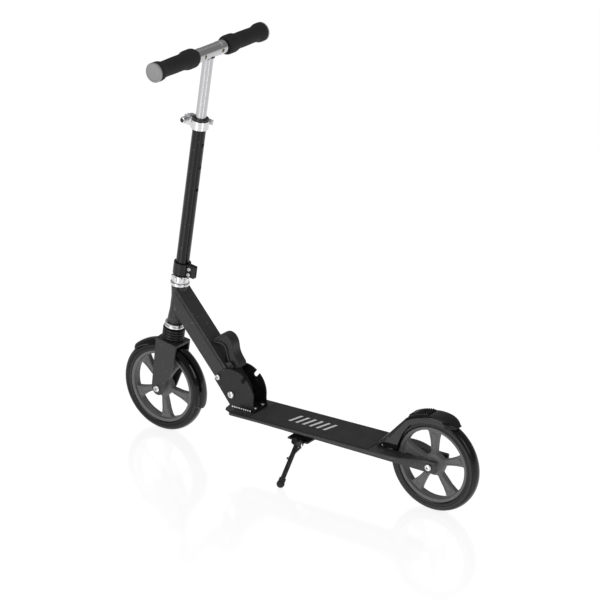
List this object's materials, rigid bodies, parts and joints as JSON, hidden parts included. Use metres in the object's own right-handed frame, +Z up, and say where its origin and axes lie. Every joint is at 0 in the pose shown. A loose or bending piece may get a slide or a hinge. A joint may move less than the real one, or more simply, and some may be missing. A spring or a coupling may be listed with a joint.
{
  "type": "kick scooter",
  "caption": "Folding adult kick scooter with large solid wheels, sprung fork, height-adjustable stem, pull-out handles, fender brake and side kickstand.",
  "frame": {"origin": "on the floor, midway between the two axles, in the wheels' middle plane", "axes": "+X forward, +Y to the rider's left, +Z up"},
  "size_m": [0.88, 0.36, 0.8754],
  "materials": {
    "black_paint": "satin",
    "grey_paint": "satin",
    "grip_tape": "gritty",
    "steel": "bright zinc and chrome plate",
    "aluminium": "satin anodised",
    "brass": "polished",
    "grip_foam": "matte foam",
    "foot_rubber": "matte",
    "tyre": "smooth polyurethane",
    "rim": "satin",
    "fender": "high gloss",
    "black_plastic": "satin",
    "end_cap": "satin"
  },
  "bodies": {
    "chassis": {"deck_plate": "grey_paint", "grip_tape": "grip_tape", "rail_left": "grey_paint", "rail_right": "grey_paint", "fold_bracket": "grey_paint", "bracket_screw_left": "steel", "bracket_screw_right": "steel", "fold_bolt": "steel", "fold_nut": "steel", "lock_bolt": "steel", "lock_nut": "steel", "axle_bolt_rear": "steel", "axle_nut_rear": "steel", "brake_hinge": "steel", "brake_pin": "steel", "brake_spring": "steel", "kickstand_bracket": "black_paint", "kickstand_bolt": "steel", "kickstand_spring": "steel"},
    "rear_wheel": {"tyre_rear": "tyre", "rim_rear": "rim", "bearing_rear_left": "steel", "bearing_rear_right": "steel"},
    "brake": {"rear_fender": "fender"},
    "kickstand": {"kickstand_leg": "black_paint", "kickstand_foot": "foot_rubber"},
    "front_frame": {"front_frame": "grey_paint", "lower_headset_ring": "steel", "upper_headset_cup": "steel", "lever_pin": "steel"},
    "lever": {"release_lever": "black_plastic"},
    "column": {"lower_steering_tube": "black_paint", "lower_clamp": "aluminium", "lower_clamp_bolt_lower": "steel", "lower_clamp_bolt_upper": "steel", "upper_clamp": "aluminium", "clamp_shim": "black_plastic", "clamp_skewer": "steel", "steerer": "steel", "suspension_spring": "black_paint"},
    "clamp_lever": {"clamp_lever": "aluminium"},
    "fork": {"fork": "grey_paint", "axle_bolt_front": "steel", "axle_nut_front": "steel", "front_fender": "fender"},
    "front_wheel": {"tyre_front": "tyre", "rim_front": "rim", "bearing_front_left": "steel", "bearing_front_right": "steel"},
    "stem": {"stem": "aluminium"},
    "height_button": {"height_button": "brass"},
    "left_handle": {"handle_tube_left": "aluminium", "grip_left": "grip_foam", "end_cap_left": "end_cap"},
    "right_handle": {"handle_tube_right": "aluminium", "grip_right": "grip_foam", "end_cap_right": "end_cap"},
    "left_handle_button": {"handle_button_left": "brass"},
    "right_handle_button": {"handle_button_right": "brass"}
  },
  "joints": [
    {"name": "rear_wheel_spin", "type": "hinge", "parent": "chassis", "child": "rear_wheel", "pos_m": [-0.34, 0, 0.1], "axis": [0, 1, 0], "continuous": true},
    {"name": "front_wheel_spin", "type": "hinge", "parent": "fork", "child": "front_wheel", "pos_m": [0.34, 0, 0.1], "axis": [0, 1, 0], "continuous": true},
    {"name": "brake_press", "type": "hinge", "parent": "chassis", "child": "brake", "pos_m": [-0.2285, 0, 0.118], "axis": [0, -1, 0], "range_deg": [0, 1.1], "stiffness_Nm_per_rad": 5, "springref_deg": -9.74},
    {"name": "kickstand_swing", "type": "hinge", "parent": "chassis", "child": "kickstand", "pos_m": [-0.033, 0.04, 0.077], "axis": [0, 0.7572, 0.6532], "range_deg": [0, 90], "deforming": ["kickstand_spring"]},
    {"name": "fold", "type": "hinge", "parent": "chassis", "child": "front_frame", "pos_m": [0.145, 0, 0.135], "axis": [0, -1, 0], "range_deg": [0, 86]},
    {"name": "release_lever_pull", "type": "hinge", "parent": "front_frame", "child": "lever", "pos_m": [0.15214, 0, 0.19504], "axis": [0, -1, 0], "range_deg": [0, 25], "stiffness_Nm_per_rad": 1, "springref_deg": -22.92},
    {"name": "steering", "type": "hinge", "parent": "front_frame", "child": "column", "pos_m": [0.33309, 0, 0.09887], "axis": [-0.1613, 0, 0.9869], "range_deg": [-90, 90]},
    {"name": "clamp_lever_swing", "type": "hinge", "parent": "column", "child": "clamp_lever", "pos_m": [0.26516, -0.0133, 0.70687], "axis": [-0.1613, 0, 0.9869], "range_deg": [0, 120]},
    {"name": "suspension", "type": "slide", "parent": "column", "child": "fork", "axis": [-0.1613, 0, 0.9869], "range_m": [0, 0.012], "stiffness_N_per_m": 20000, "springref_m": -0.005, "deforming": ["suspension_spring"]},
    {"name": "stem_height", "type": "slide", "parent": "column", "child": "stem", "axis": [-0.1613, 0, 0.9869], "range_m": [-0.05, 0.05]},
    {"name": "height_button_press", "type": "slide", "parent": "stem", "child": "height_button", "axis": [0.9869, 0, 0.1613], "range_m": [0, 0.002], "stiffness_N_per_m": 800, "springref_m": -0.002},
    {"name": "left_handle_pull", "type": "slide", "parent": "stem", "child": "left_handle", "axis": [0, 1, 0], "range_m": [0, 0.03]},
    {"name": "right_handle_pull", "type": "slide", "parent": "stem", "child": "right_handle", "axis": [0, -1, 0], "range_m": [0, 0.03]},
    {"name": "left_handle_button_press", "type": "slide", "parent": "left_handle", "child": "left_handle_button", "axis": [0.9869, 0, 0.1613], "range_m": [0, 0.002], "stiffness_N_per_m": 800, "springref_m": -0.002},
    {"name": "right_handle_button_press", "type": "slide", "parent": "right_handle", "child": "right_handle_button", "axis": [0.9869, 0, 0.1613], "range_m": [0, 0.002], "stiffness_N_per_m": 800, "springref_m": -0.002}
  ]
}
